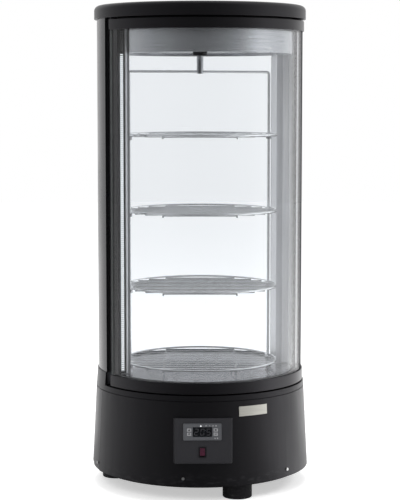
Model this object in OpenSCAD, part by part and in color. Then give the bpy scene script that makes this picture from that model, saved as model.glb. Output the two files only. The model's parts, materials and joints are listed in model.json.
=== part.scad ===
// Round refrigerated display case: curved glass door and turning wire shelves.
// Millimetres, +Z up, the cabinet's axis on Z, the door faces -Y, floor at z = 0.
// Angles round the axis are counted from the front (-Y) towards +X.

/* [Overall] */
// Height of the case from the floor to the top of the cap
case_h = 1000; // [940:10:1200]
// Outside radius of the curved glass
glass_r = 214; // [208:1:222]

/* [Feet and skirt] */
// Height of the feet
foot_h = 36; // [28:1:50]
// Radius of a foot
foot_r = 30; // [22:0.5:32]
// Distance from the skirt's lower edge in to a foot's centre
foot_inset = 48.6; // [45:0.2:63]
// Turn of the feet about the axis
foot_a = 3; // [0:1:8]
// Radius of a foot's threaded stud
stud_r = 4; // [3:0.5:5]
// Height of the front skirt panel
skirt_h = 169; // [160:1:200]
// How far the skirt's top stands out past the glass
skirt_step = 6; // [5:0.5:9]
// How much wider the skirt is at its foot, on the radius
skirt_flare = 8.6; // [4:0.2:14]
// Sheet thickness of the skirt
skirt_t = 1.5; // [1:0.1:2.5]
// Half angle that the front skirt panel covers
skirt_a = 89.5; // [88:0.5:91]
// How much higher the rear skirt's lower edge is than the front one's
rear_rise = 7; // [0:0.5:9]
// Width of a louvre slot in the rear skirt
louvre_w = 7; // [4:0.5:9]
// Number of louvre slots
louvre_n = 15; // [7:2:17]
// Distance of the louvre slots from the skirt's edges
louvre_in = 36; // [24:1:50]
// Height of the skirt screws over the skirt's lower edge
screw_rise = 15; // [12:1:18]
// Radius of a skirt screw's head
screw_head_r = 3; // [2.5:0.25:4.5]
// Radius of a skirt screw's shank
screw_r = 2; // [1.5:0.25:2.5]

/* [Base frame and deck] */
// Sheet thickness of the base pan
pan_t = 2; // [1.5:0.5:3]
// Height of the pan's turned-up rim
pan_rim = 24; // [20:1:28]
// Height of the pan's stiffening ring under the skirt
lip_h = 6; // [3:0.5:10]
// Distance from the skirt's lower edge in to that ring
lip_in = 13.6; // [8:0.2:15]
// Width of a post's flange
post_w = 20; // [14:1:24]
// Thickness of the insulated deck under the collar
deck_t = 17; // [12:1:22]
// Height of the collar's ledge where the door closes over it
ledge_h = 12; // [9:0.5:14]
// Running gap under the door
sill_gap = 2.5; // [1.5:0.5:4]
// Height of the collar's rear wall over the ledge
collar_rise = 24.5; // [15:0.5:40]
// Height and depth of the shadow gap between skirt and collar
seam = 1.2; // [0.6:0.2:2]
// How far the collar leans in from its foot to the top of its wall
collar_lean = 3; // [1:0.5:4]
// Rise of the stainless floor over the door's lower edge
floor_rise = 20.5; // [16:0.5:30]

/* [Glass and door] */
// Thickness of the outer pane
pane_out_t = 4; // [3:0.5:5]
// Height of the rear spacer's lower run
spacer_lo_h = 20; // [8:1:30]
// Height of the rear spacer's upper run
spacer_hi_h = 12; // [6:1:20]
// Width of the rear spacer's upright runs, in degrees
spacer_side_a = 0.6; // [0.4:0.1:3]
// Thickness of the inner pane
pane_in_t = 3; // [3:0.5:4]
// Air gap between the panes
pane_gap = 7.5; // [6:0.5:9]
// How far the rails stand out past the glass
rail_step = 3; // [2:0.5:4]
// Height of the door's top rail
rail_top = 20.5; // [18:0.5:30]
// Height of the door's bottom rail
rail_bot = 23; // [22:0.5:35]
// Depth of a pane's edge in a rail
pane_set = 10; // [7:0.5:11]
// Half angle that the door covers
door_a = 80.25; // [80:0.25:81]
// Angle that a door stile covers
stile_a = 5.25; // [4:0.25:7]
// Thickness of the door gasket behind the rails
gasket_t = 4.7; // [4:0.1:6]
// Distance from the glass's outermost point in to the hinge axis
pivot_in = 10; // [9:0.5:11]
// Distance of the hinge axis in front of the cabinet's axis
pivot_y = 41; // [40.5:0.5:42]
// Radius of a hinge pin
pin_r = 4; // [3:0.25:4.5]
// Depth of a hinge pin in its rail
pin_in = 9; // [6:0.5:10]

/* [Columns and shells] */
// Distance of the columns' front faces in front of the axis
col_face = 25; // [23:0.5:26]
// Angle from the front to the columns' rear ends
col_back_a = 107; // [104:0.5:112]
// Angle from the front to the shells' front edges
shell_a = 86; // [85.5:0.25:88]
// Sheet thickness of the shells
shell_t = 1.5; // [1:0.1:2]
// How far the shells stand out past the glass
shell_step = 1; // [0.5:0.5:2]
// Depth of the finger grip beside the door
grip_d = 7.2; // [6:0.2:9]
// Width of the light channel on the left column
led_w = 14; // [12:0.5:14]
// Width of the light strip in that channel
led_strip_w = 7.5; // [5:0.5:9]
// Distance of the light channel from the column's inner edge
led_in = 11; // [6:0.5:11.5]
// Width of the ribbed trim on the right column
trim_w = 12; // [8:0.5:12]
// Distance of the ribbed trim from the column's inner edge
trim_in = 14; // [8:0.5:14.5]

/* [Head] */
// Height of the cap
cap_h = 28; // [24:1:45]
// How far the cap stands out past the glass
cap_step = 6.5; // [4:0.5:8]
// Radius of the cap's rounded top edge
cap_round = 11; // [6:0.5:14]
// Wall of the cap
cap_t = 3; // [2:0.5:4]
// Running gap over the door
cap_gap = 4; // [2:0.5:5]
// Height of the head, from the ceiling to the cap
head_h = 71; // [66:1:90]
// Height of the ceiling over the head's lower edge
head_lip = 6; // [2:0.5:8]
// Width of the head ring's ceiling flange
head_flange = 42; // [38:1:44]
// Height of the head ring's fine groove over its lower edge
groove_rise = 13; // [8:1:18]
// Width of that groove
groove_w = 2; // [1:0.5:3]

/* [Turning shelves] */
// Distance from the glass's outer face in to a shelf's edge
shelf_in = 51; // [51:1:64]
// Height of the lowest shelf over the stainless floor
shelf_rise = 19.5; // [18:0.5:40]
// Distance from one shelf to the next
shelf_pitch = 159; // [120:1:160]
// Radius of a shelf's rim wire
rim_r = 2; // [1.5:0.25:3]
// Radius of a shelf's parallel wires
wire_r = 1.5; // [1:0.1:2]
// Distance between the parallel wires
wire_pitch = 26; // [14:0.5:30]
// Radius of the cross wires under the shelf
cross_r = 1.75; // [1.5:0.25:2.5]
// Distance of a cross wire from the shelf's centre
cross_at = 75; // [50:1:110]
// Gap between the shelves and the columns
shelf_clear = 4.5; // [4:0.5:12]
// Distance from a shelf's edge in to an upright rod
rod_in = 7; // [7:0.5:33]
// Radius of the carrier's rod
rod_r = 3; // [2.5:0.25:4]
// Bend radius of the carrier's corners, at the rod's centre
rod_bend = 6; // [5:0.5:25]
// Distance from the head's lower edge down to the carrier's crossbar
bar_drop = 36.5; // [30:0.5:60]
// Height of a shelf's eye round the rod
eye_h = 6; // [4:0.5:9]
// Wall of a shelf's eye
eye_t = 3.7; // [3:0.1:4.5]
// Height of a shelf clip
clip_h = 7; // [5:0.5:10]
// Turn of the carrier at rest
carrier_a = -2; // [-60:1:60]
// Turn of the shelves' wires from the carrier's crossbar
wire_a = -20; // [-60:1:60]
// Radius of the drive shaft
shaft_r = 7; // [6:0.5:9]
// Radius of the drive shaft's upper end in the gearmotor
spigot_r = 5; // [4:0.5:5.5]
// Radius of the hub block under the ceiling
hub_r = 15.5; // [12:0.5:20]
// Height of the hub block
hub_h = 9.5; // [6:0.5:16]

/* [Control panel] */
// Angle from the front to the middle of the control plate
panel_a = -20.4; // [-30:0.2:-19]
// Height of the control plate's middle over the skirt's lower edge
panel_rise = 91.7; // [84:0.1:96]
// Width of the control plate
plate_w = 112; // [104:1:120]
// Height of the control plate
plate_h = 91; // [84:1:96]
// Thickness of the control plate at its middle
plate_t = 1.8; // [1.2:0.1:3]
// Reach of the control plate's slanted sides
plate_wing = 4.5; // [0:0.5:8]
// Radius of the control plate's corners
plate_corner = 4; // [1:0.5:6]
// Width of the controller's bezel
bezel_w = 77; // [74:0.5:80]
// Height of the controller's bezel
bezel_h = 34; // [32:0.5:36]
// Radius of the bezel's corners
bezel_corner = 2.5; // [1:0.5:3]
// Thickness of the controller's bezel
bezel_t = 2.5; // [2:0.1:4]
// Depth of the controller behind the plate
ctrl_d = 50; // [40:1:60]
// Shift of the controller from the plate's middle, to the side
ctrl_x = -1.5; // [-4:0.5:4]
// Shift of the controller from the plate's middle, upwards
ctrl_z = 18.5; // [16:0.5:20]
// Width of the display lens
lens_w = 39; // [34:0.5:40]
// Height of the display lens
lens_h = 20; // [16:0.5:22]
// Width of a controller button
btn_w = 9; // [7:0.5:9.5]
// Height of a controller button
btn_h = 6.5; // [5:0.5:7]
// Distance of a button's middle from the controller's middle, to the side
btn_x = 26.6; // [26:0.2:27.5]
// Distance of a button's middle from the controller's middle, up or down
btn_z = 4.2; // [4:0.1:6]
// How far a button stands out of the bezel
btn_proud = 0.8; // [0.5:0.1:1.2]
// How far a button moves in
btn_travel = 0.8; // [0.4:0.1:1]
// Width of the switch's bezel
sw_w = 15; // [14:0.5:18]
// Height of the switch's bezel
sw_h = 21.5; // [20:0.5:24]
// Shift of the switch from the plate's middle, downwards
sw_drop = 22.4; // [21:0.2:26]
// Width of the rocker
rocker_w = 9.8; // [8:0.2:10.4]
// Height of the rocker
rocker_h = 14.8; // [12:0.2:15]
// Tilt of the rocker to either side
rocker_a = 8; // [4:1:10]
// Width of the badge plate
badge_w = 65; // [40:1:80]
// Height of the badge plate
badge_h = 20; // [12:1:24]
// Thickness of the badge plate
badge_t = 1.5; // [1:0.1:3]
// Angle from the front to the middle of the badge plate
badge_a = 7.1; // [6:0.1:12]
// Distance from the skirt's top edge down to the badge plate
badge_drop = 11; // [4:1:30]

/* [Machine compartment] */
// Radius of the compressor's shell
comp_r = 62; // [50:1:66]
// Radius of the rounding of the compressor's dome
comp_dome = 24; // [16:1:30]
// Radius of the rounding of the compressor's foot
comp_foot = 8; // [6:1:12]
// Height of the compressor's shell
comp_h = 116; // [90:1:122]
// Height of a compressor mount
mount_h = 10; // [6:1:14]
// Width of the condenser
cond_w = 176; // [140:2:184]
// Height of the condenser
cond_h = 116; // [100:1:124]
// Depth of the condenser
cond_d = 40; // [34:1:46]
// Distance between condenser fins
fin_pitch = 8; // [6:0.5:12]
// Thickness of a fin
fin_t = 1; // [0.6:0.1:1.5]
// Radius of the coil tubes
coil_r = 4; // [3:0.25:4.5]
// Radius of the condenser fan
cfan_r = 50; // [40:1:53]
// Radius of the evaporator fan
efan_r = 45; // [36:1:48]
// Radius of the fan motors
fmotor_r = 20; // [16:1:24]
// Radius of the fan motors' shafts
fshaft_r = 3; // [2:0.25:4]
// Radius of the refrigerant lines
line_r = 3; // [2.5:0.25:4]
// Radius of the filter drier
drier_r = 10; // [8:0.5:12]
// Height of the filter drier
drier_h = 70; // [50:1:74]
// Distance of the filter drier from the condenser's end, towards the front
drier_run = 60; // [40:1:64]
// Height of the cord gland over the skirt's lower edge
gland_rise = 40; // [40:1:60]
// Angle from the front to the cord gland
gland_a = 128; // [120:1:132]
// Radius of the bore for the supply cord
cord_r = 4.2; // [3.5:0.1:5]
// Width of the evaporator
evap_w = 160; // [120:2:170]
// Height of the evaporator
evap_h = 44; // [36:1:50]
// Depth of the evaporator
evap_d = 48; // [40:1:54]
// Width and depth of the gearmotor
gear_w = 70; // [60:1:76]
// Height of the gearmotor
gear_h = 44; // [36:1:50]

/* [Hidden] */
$fn = 96;

// Clearances: between seated pieces, round a running shaft, round a glued pane
fit = 0.3;
run = 0.05;
glaze = 0.2;
far = 400;

// Heights
skirt_top = foot_h + skirt_h;
ledge_z = skirt_top + ledge_h;
door_z = ledge_z + sill_gap;
wall_z = door_z + collar_rise;
floor_z = door_z + floor_rise;
cap_z = case_h - cap_h;
door_top = cap_z - cap_gap;
pane_lo = door_z + rail_bot - pane_set + glaze;
pane_hi = door_top - rail_top + pane_set - glaze;
head_z = cap_z - head_h;
deck_z = skirt_top - deck_t;
pan_top = foot_h + pan_t;
sheet = 1.5;
ceil_z = head_z + head_lip + sheet;
ceil_top = ceil_z + sheet;
hub_z = ceil_z - 1 - hub_h;
bar_z = head_z - bar_drop;

// Radii
skirt_top_r = glass_r + skirt_step;
tilt = atan(skirt_flare / skirt_h);
cap_r = glass_r + cap_step;
rail_r = glass_r + rail_step;
shell_r = glass_r + shell_step;
col_r = shell_r - shell_t - fit;
grip_r = glass_r - grip_d;
pivot_x = glass_r - pivot_in;
shelf_r = glass_r - shelf_in;
rod_at = shelf_r - rod_in;
in_r = glass_r - pane_out_t - pane_gap;
rail_in = in_r - pane_in_t - sheet;
ring_r = rail_in - gasket_t - fit;
ledge_in = ring_r - 3;
collar_in = shell_r - 0.5;
post_at = glass_r - 12;
foot_at = skirt_top_r + skirt_flare - foot_inset;
foot_angles = [foot_a, foot_a + 120, foot_a + 240];
post_angles = [52, 142, 232, 308];
front_screws = [-30.5, 29.5];
rear_screws = [skirt_a + 2, 145, 215, 358 - skirt_a];
louvre_step = 5;

// Columns
col_x = sqrt(pow(shelf_r + shelf_clear, 2) - col_face * col_face);
col_back_r = in_r - pane_in_t;
col_lip_a = shell_a + (shell_t + fit) / glass_r * 180 / PI;

// Panel pieces, in the panel's own frame (x right, y inwards, z up the panel)
panel_z = foot_h + panel_rise;
bezel_y = -plate_t - bezel_t;
body_w = bezel_w - 6;
body_h = bezel_h - 5.4;
sw_flange = 1.6;
sw_body_w = sw_w - 2.6;
sw_body_h = sw_h - 2.5;
rocker_gap = 0.2;
rocker_y = 2;

// Machines, and the slots of the ceiling under them
spigot_in = 22;
grille_pitch = 9;
slot_pitch = 11;
slot_w = 5;
comp_at = [72, -52];
comp_feet = [60, 42];
comp_z = pan_top + mount_h;
cond_x = -14;
cond_y = 118;
cond_z = pan_top + 4;
cfan_z = cond_z + cond_h / 2;
shroud_y = cond_y - 12;
bridge_y = shroud_y - 28;
cfan_off = 12;
cfan_h = 16;
efan_h = 14;
efan_rise = 18;
efan_z = ceil_top + efan_rise;
coil_rows = 5;
efan_y = -104;
evap_y = 62;
evap_z = ceil_top + 6;

function dir(a) = [sin(a), -cos(a)];
function skirt_r(z) = skirt_top_r + skirt_flare * (skirt_top - z) / skirt_h;
function collar_r(z) = skirt_top_r - collar_lean * (z - skirt_top) / (wall_z - skirt_top);
function shelf_z(i) = floor_z + shelf_rise + (i - 1) * shelf_pitch;

// A ring segment with flat ends
module sector(r1, r2, z1, z2, a1, a2)
    rotate([0, 0, a1 - 90]) rotate_extrude(angle = a2 - a1)
        translate([r1, z1]) square([r2 - r1, z2 - z1]);

// A ring segment with the given section
module swept(points, a1, a2)
    rotate([0, 0, a1 - 90]) rotate_extrude(angle = a2 - a1) polygon(points);

module ring(r1, r2, z1, z2)
    rotate_extrude() translate([r1, z1]) square([r2 - r1, z2 - z1]);

module box(lo, hi) translate(lo) cube(hi - lo);

// A plate across y from y1 to y2, w wide and h high, with rounded corners
module rounded(w, h, r, y1, y2)
    translate([0, y2, 0]) rotate([90, 0, 0]) linear_extrude(y2 - y1) {
        square([w - 2 * r, h], center = true);
        square([w, h - 2 * r], center = true);
        for (x = [-1, 1], z = [-1, 1])
            translate([x * (w / 2 - r), z * (h / 2 - r)]) circle(r);
    }

module rod(from, to, r) {
    d = to - from;
    translate(from) rotate([0, acos(d[2] / norm(d)), atan2(d[1], d[0])])
        cylinder(r = r, h = norm(d));
}

// Bent tube through the given points, with round joints
module line_run(points, r)
    for (i = [0 : len(points) - 2]) {
        rod(points[i], points[i + 1], r);
        if (i > 0) translate(points[i]) sphere(r);
    }

module at(a, r, z) rotate([0, 0, a]) translate([0, -r, z]) children();

// Frame on the skirt's outer face: x along it, -y outwards, z up the slope
module on_skirt(a, z) at(a, skirt_r(z), z) rotate([-tilt, 0, 0]) children();

module on_panel() on_skirt(panel_a, panel_z) children();

module wedge_plan(a1, a2)
    polygon([[0, 0], far * dir(a1), far * dir((a1 + a2) / 2), far * dir(a2)]);

module skirt_section(z1, z2, a1, a2)
    swept([[skirt_r(z1) - skirt_t, z1], [skirt_r(z1), z1],
        [skirt_r(z2), z2], [skirt_r(z2) - skirt_t, z2]], a1, a2);

module screw_holes(angles, r)
    for (a = angles) on_skirt(a, foot_h + screw_rise)
        rotate([90, 0, 0]) cylinder(r = r, h = 30, center = true);

module base_frame() {
    lip = skirt_t + fit;
    rim_top = pan_top + pan_rim;
    color("dimgray") difference() {
        union() {
            translate([0, 0, foot_h]) cylinder(r = skirt_r(foot_h) - lip, h = pan_t);
            swept([[skirt_r(pan_top) - lip - sheet, pan_top - 0.5],
                [skirt_r(pan_top) - lip, pan_top - 0.5],
                [skirt_r(rim_top) - lip, rim_top],
                [skirt_r(rim_top) - lip - sheet, rim_top]], 0, 360);
            ring(skirt_r(foot_h) - lip_in - sheet, skirt_r(foot_h) - lip_in,
                foot_h - lip_h, foot_h + 0.5);
            for (a = post_angles) at(a, post_at, 0) {
                box([-post_w / 2, 0, pan_top - 0.5], [post_w / 2, pan_t, deck_z]);
                box([-post_w / 2, 0, pan_top - 0.5],
                    [pan_t - post_w / 2, post_w, deck_z]);
            }
        }
        for (a = foot_angles) at(a, foot_at, foot_h - 1)
            cylinder(r = stud_r + glaze, h = pan_t + 2);
        screw_holes(concat(front_screws, rear_screws), screw_r + glaze);
        comp_bolts() cylinder(r = line_r + glaze, h = pan_t + 2);
    }
}

module front_skirt()
    color("black") difference() {
        skirt_section(foot_h, skirt_top, -skirt_a, skirt_a);
        screw_holes(front_screws, screw_r + glaze);
        on_panel() box([6 - plate_w / 2, -20, 6 - plate_h / 2],
            [plate_w / 2 - 6, 20, plate_h / 2 - 6]);
    }

module rear_skirt()
    color("black") difference() {
        skirt_section(foot_h + rear_rise, skirt_top, skirt_a + 0.1, 359.9 - skirt_a);
        screw_holes(rear_screws, screw_r + glaze);
        for (i = [0 : louvre_n - 1])
            at(180 + (i - (louvre_n - 1) / 2) * louvre_step, glass_r, 0)
                box([-louvre_w / 2, -30, foot_h + louvre_in],
                    [louvre_w / 2, 30, skirt_top - louvre_in]);
        on_skirt(gland_a, foot_h + gland_rise) rotate([90, 0, 0])
            cylinder(r = cord_r + 5 + fit, h = 30, center = true);
    }

module skirt_screws()
    color("silver") for (a = concat(front_screws, rear_screws))
        on_skirt(a, foot_h + screw_rise) translate([0, -0.05, 0]) {
            rotate([90, 0, 0]) difference() {
                cylinder(r = screw_head_r, h = 2);
                translate([-0.5, -screw_head_r * 0.6, 1.1])
                    cube([1, screw_head_r * 1.2, 2]);
                translate([-screw_head_r * 0.6, -0.5, 1.1])
                    cube([screw_head_r * 1.2, 1, 2]);
            }
            rotate([-90, 0, 0]) cylinder(r = screw_r, h = 8);
        }

module foot(a)
    color("black") at(a, foot_at, 0) {
        cylinder(r1 = foot_r - 1.5, r2 = foot_r, h = 1.5);
        translate([0, 0, 1.5]) cylinder(r = foot_r, h = foot_h - 1.5);
        translate([0, 0, foot_h - 1]) cylinder(r = stud_r, h = 18);
        translate([0, 0, pan_top]) cylinder(r = stud_r * 1.8, h = 6, $fn = 6);
    }
module foot_front() foot(foot_angles[0]);
module foot_rear_right() foot(foot_angles[1]);
module foot_rear_left() foot(foot_angles[2]);

// The four bolt places of the compressor, from under the pan
module comp_bolts()
    for (x = [-1, 1], y = [-1, 1])
        translate([comp_at[0] + x * comp_feet[0], comp_at[1] + y * comp_feet[1],
            foot_h - 1]) children();

module compressor()
    color("black") difference() {
        union() {
            translate([comp_at[0], comp_at[1], comp_z + 5]) rotate_extrude() {
                square([comp_r - comp_dome, comp_h]);
                translate([0, 2 * comp_foot])
                    square([comp_r, comp_h - comp_dome - 2 * comp_foot]);
                translate([0, comp_foot]) square([comp_r - comp_foot, comp_h - comp_dome]);
                translate([comp_r - comp_foot, 2 * comp_foot]) circle(comp_foot);
                translate([comp_r - comp_dome, comp_h - comp_dome]) circle(comp_dome);
                translate([0, comp_h * 0.55]) square([comp_r + 2, 4]);
            }
            translate([comp_at[0], comp_at[1], comp_z])
                box([-comp_feet[0] - 11, -comp_feet[1] - 11, 0],
                    [comp_feet[0] + 11, comp_feet[1] + 11, 3]);
            translate([comp_at[0], comp_at[1], comp_z + 2])
                cylinder(r = comp_r - comp_dome - 2, h = 5);
            translate([comp_at[0], comp_at[1], comp_z])
                box([-comp_r - 10, -20, 20], [-comp_r + 8, 20, 66]);
        }
        comp_bolts() cylinder(r = line_r + glaze, h = far);
    }

module compressor_mounts()
    color("dimgray") comp_bolts() {
        translate([0, 0, pan_t + 1]) cylinder(r = 9, h = mount_h);
        cylinder(r = line_r, h = pan_t + mount_h + 5);
        translate([0, 0, pan_t + mount_h + 4]) cylinder(r = 6, h = 4, $fn = 6);
    }

// Finned coil: fins on rows of tubes, with bends at the ends
module coil(w, d, h, rows, cols, pitch) {
    n = floor((w - 8) / pitch);
    dx = d / cols;
    dz = h / rows;
    for (i = [0 : n]) translate([-n * pitch / 2 + i * pitch - fin_t / 2, 0, 0])
        cube([fin_t, d, h]);
    for (j = [0 : cols - 1], k = [0 : rows - 1])
        translate([-w / 2 - 4, dx * (j + 0.5), dz * (k + 0.5)])
            rotate([0, 90, 0]) cylinder(r = coil_r, h = w + 8);
    for (s = [-1, 1]) translate([s * w / 2 - 1, 0, 0]) cube([2, d, h]);
    for (s = [-1, 1], j = [0 : cols - 1], k = [s > 0 ? 0 : 1 : 2 : rows - 2])
        translate([s * (w / 2 + 4), dx * (j + 0.5), dz * (k + 1)])
            rotate([90, 0, 0]) rotate([0, 0, s > 0 ? -90 : 90])
                rotate_extrude(angle = 180) translate([dz / 2, 0]) circle(coil_r);
}

module condenser()
    color("dimgray") translate([cond_x, cond_y, cond_z]) {
        coil(cond_w, cond_d, cond_h, coil_rows, 2, fin_pitch);
        for (s = [-1, 1]) translate([s * cond_w / 2, 0, 0])
            box([-9, 6, pan_top - cond_z], [9, cond_d - 6, 0.5]);
    }

module condenser_shroud()
    color("gray") translate([cond_x, 0, 0]) {
        w = cond_w / 2;
        reach = cfan_r + 8;
        difference() {
            box([-w, shroud_y, cond_z], [w, shroud_y + 2, cond_z + cond_h]);
            translate([0, shroud_y + 10, cfan_z]) rotate([90, 0, 0])
                cylinder(r = cfan_r + 4, h = 20);
        }
        for (z = [cond_z, cond_z + cond_h - 2])
            box([-w, shroud_y, z], [w, cond_y - glaze, z + 2]);
        difference() {
            union() {
                box([-reach, bridge_y, cfan_z - 9], [reach, bridge_y + 3, cfan_z + 9]);
                for (s = [-1, 1]) translate([s * (reach - 1.5), 0, 0])
                    box([-1.5, bridge_y, cfan_z - 9], [1.5, shroud_y + 1, cfan_z + 9]);
            }
            translate([0, bridge_y + 10, cfan_z]) rotate([90, 0, 0])
                cylinder(r = fshaft_r - 1, h = 20);
        }
        translate([0, bridge_y, cfan_z]) rotate([-90, 0, 0]) {
            translate([0, 0, -30]) cylinder(r = fmotor_r, h = 31);
            translate([0, 0, -34]) cylinder(r = fmotor_r - 6, h = 5);
            cylinder(r = fshaft_r, h = cfan_off + cfan_h - 2 - fit);
        }
    }

// Axial fan on z: hub at z 0, blades leaning between hub and tip
module fan(tip_r, hub_r, h) {
    difference() {
        cylinder(r = hub_r, h = h);
        translate([0, 0, -1]) cylinder(r = fshaft_r + run, h = h - 1);
    }
    intersection() {
        ring(hub_r - 1, tip_r, 0, h);
        for (a = [0 : 72 : 359]) rotate([0, 0, a]) translate([0, 0, h / 2])
            rotate([28, 0, 0]) translate([hub_r - 2, -20, -0.8])
                cube([tip_r, 40, 1.6]);
    }
}

module condenser_fan()
    color("darkslategray") translate([cond_x, bridge_y + cfan_off, cfan_z])
        rotate([-90, 0, 0]) fan(cfan_r, 14, cfan_h);

module refrigerant_lines() {
    cx = comp_at[0];
    cy = comp_at[1] + comp_r;
    zs = comp_z + 5 + comp_h * 0.45;
    end_x = cond_x + cond_w / 2 + 4;
    coil_y = cond_y + cond_d * 0.25;
    low_z = cond_z + cond_h / coil_rows / 2;
    top_z = cond_z + cond_h - cond_h / coil_rows / 2;
    drier_x = cond_x - cond_w / 2 - 22;
    drier_y = coil_y - drier_run;
    drier_z = low_z + 18;
    color("peru") {
        line_run([[cx, cy + fit, zs], [cx, cy + 20, zs], [end_x + 24, cy + 20, zs],
            [end_x + 24, coil_y, zs], [end_x + 24, coil_y, top_z],
            [end_x + fit, coil_y, top_z]], line_r);
        line_run([[cond_x - cond_w / 2 - 4 - fit, coil_y, low_z],
            [drier_x, coil_y, low_z], [drier_x, drier_y, low_z],
            [drier_x, drier_y, drier_z + 2]], line_r);
        translate([drier_x, drier_y, drier_z]) cylinder(r = drier_r, h = drier_h);
        line_run([[drier_x, drier_y, drier_z + drier_h - 2],
            [drier_x, drier_y, deck_z - fit]], line_r);
        line_run([[cx, cy + fit, zs + 26], [cx, cy + 10, zs + 26],
            [cx, cy + 10, deck_z - fit]], line_r);
    }
}

module cord_gland()
    color("black") on_skirt(gland_a, foot_h + gland_rise) rotate([90, 0, 0]) difference() {
        union() {
            translate([0, 0, 0.3]) cylinder(r = cord_r + 9, h = 3);
            cylinder(r = cord_r + 5, h = 12);
            translate([0, 0, 11]) cylinder(r1 = cord_r + 5, r2 = cord_r + 3, h = 6);
            translate([0, 0, -12]) cylinder(r = cord_r + 5, h = 13);
            translate([0, 0, -skirt_t - 5.3]) cylinder(r = cord_r + 8, h = 5, $fn = 6);
        }
        translate([0, 0, -20]) cylinder(r = cord_r, h = 50);
    }

// Plan of the right-hand column's space, grown by g, out to the far edge
module column_space(g)
    polygon([[col_x - g, -col_face - g], [far, -col_face - g],
        far * dir(col_back_a) + [0, 2 * g], col_back_r * dir(col_back_a) + [-g, g]]);

module column_slots(z1, z2)
    for (s = [0, 1]) mirror([s, 0, 0]) translate([0, 0, z1])
        linear_extrude(z2 - z1) column_space(fit);

module insulated_deck()
    color("khaki") {
        translate([0, 0, deck_z])
            cylinder(r = skirt_top_r - skirt_t - fit, h = deck_t);
        translate([0, 0, skirt_top - 1]) cylinder(r = ledge_in - fit,
            h = door_z - skirt_top + 1);
        difference() {
            translate([0, 0, door_z - 1])
                cylinder(r = ring_r - sheet - fit, h = floor_z - sheet - door_z + 1);
            ring(ledge_in - fit, far, door_z - 2, door_z);
            column_slots(door_z, floor_z + 1);
        }
    }

module collar()
    color("black") difference() {
        swept([[ledge_in, skirt_top], [collar_r(skirt_top) - seam, skirt_top],
            [collar_r(skirt_top) - seam, skirt_top + seam],
            [collar_r(skirt_top + seam), skirt_top + seam],
            [collar_r(wall_z), wall_z], [collar_in, wall_z], [collar_in, door_z],
            [ledge_in, door_z]], 180, 540);
        sector(ledge_in - 5, skirt_top_r + 5, ledge_z, wall_z + 5, -shell_a, shell_a);
        translate([pivot_x, -pivot_y, skirt_top + 1.5])
            cylinder(r = pin_r + run, h = far);
    }

module floor_tray()
    color("silver") difference() {
        union() {
            translate([0, 0, floor_z - sheet]) cylinder(r = ring_r, h = sheet);
            ring(ring_r - sheet, ring_r, door_z, floor_z);
        }
        column_slots(0, far);
    }

module column()
    translate([0, 0, door_z]) linear_extrude(cap_z - glaze - door_z) difference() {
        intersection() {
            circle(col_r);
            column_space(0);
        }
        difference() {
            wedge_plan(60, col_lip_a);
            circle(grip_r);
        }
    }
module right_column() color("gray") column();
module left_column() color("gray") mirror([1, 0, 0]) column();

module shell() {
    lo = wall_z + 0.1;
    hi = cap_z - 0.1;
    sector(shell_r - shell_t, shell_r, lo, hi, shell_a, col_back_a);
    sector(grip_r + fit, shell_r, lo, hi, shell_a, shell_a + shell_t / glass_r * 180 / PI);
}
module right_shell() color("black") shell();
module left_shell() color("black") mirror([1, 0, 0]) shell();

module led_channel() {
    x = col_x + led_in;
    color("black") mirror([1, 0, 0]) difference() {
        box([x, -col_face - 3, floor_z + 2], [x + led_w, -col_face, head_z - 2]);
        box([x + (led_w - led_strip_w) / 2 - glaze, -far, floor_z + 6],
            [x + (led_w + led_strip_w) / 2 + glaze, -col_face - 1.2, head_z - 6]);
    }
}

module led_strip() {
    x = col_x + led_in + (led_w - led_strip_w) / 2;
    color("white") mirror([1, 0, 0])
        box([x, -col_face - 2.6, floor_z + 6.2],
            [x + led_strip_w, -col_face - 1.2, head_z - 6.2]);
}

module hinge_side_trim() {
    x = col_x + trim_in;
    color("lightgray") {
        box([x, -col_face - 1.5, floor_z + 2], [x + trim_w, -col_face, head_z - 2]);
        for (i = [0 : 3]) translate([x + i * (trim_w - 1.6) / 3, 0, 0])
            box([0, -col_face - 2.5, floor_z + 2], [1.6, -col_face - 1.4, head_z - 2]);
    }
}

module rear_glass_outer()
    color("lightblue") sector(glass_r - pane_out_t, glass_r, door_z + glaze, pane_hi,
        col_back_a + 0.1, 359.9 - col_back_a);

module rear_glass_inner()
    color("lightblue") sector(in_r - pane_in_t, in_r, door_z + glaze, pane_hi,
        col_back_a + 0.1, 359.9 - col_back_a);

module rear_glass_spacer() {
    lo = door_z + glaze;
    hi = door_top - rail_top - glaze;
    a = col_back_a + 0.1;
    color("silver") {
        sector(in_r + glaze, glass_r - pane_out_t - glaze, lo, lo + spacer_lo_h,
            a, 360 - a);
        sector(in_r + glaze, glass_r - pane_out_t - glaze, hi - spacer_hi_h, hi,
            a, 360 - a);
        for (s = [0, 1]) mirror([s, 0, 0])
            sector(in_r + glaze, glass_r - pane_out_t - glaze, lo, hi,
                a, a + spacer_side_a);
    }
}

// Grooves for both panes in a rail, from z1 to z2
module pane_grooves(z1, z2, a1, a2) {
    sector(glass_r - pane_out_t - glaze, glass_r + glaze, z1, z2, a1, a2);
    sector(in_r - pane_in_t - glaze, in_r + glaze, z1, z2, a1, a2);
}

module rear_top_rail()
    color("black") difference() {
        sector(ring_r + fit, shell_r, door_top - rail_top, cap_z - glaze,
            col_back_a + 0.1, 359.9 - col_back_a);
        pane_grooves(0, pane_hi + glaze, col_back_a - 1, 361 - col_back_a);
    }

module head_ring()
    color("silver") difference() {
        union() {
            ring(ring_r - sheet, ring_r, head_z, cap_z - glaze);
            ring(ring_r - head_flange, ring_r, ceil_z - sheet, ceil_z);
        }
        column_slots(0, case_h);
        ring(ring_r - 0.6, ring_r + 1, head_z + groove_rise,
            head_z + groove_rise + groove_w);
    }

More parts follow.
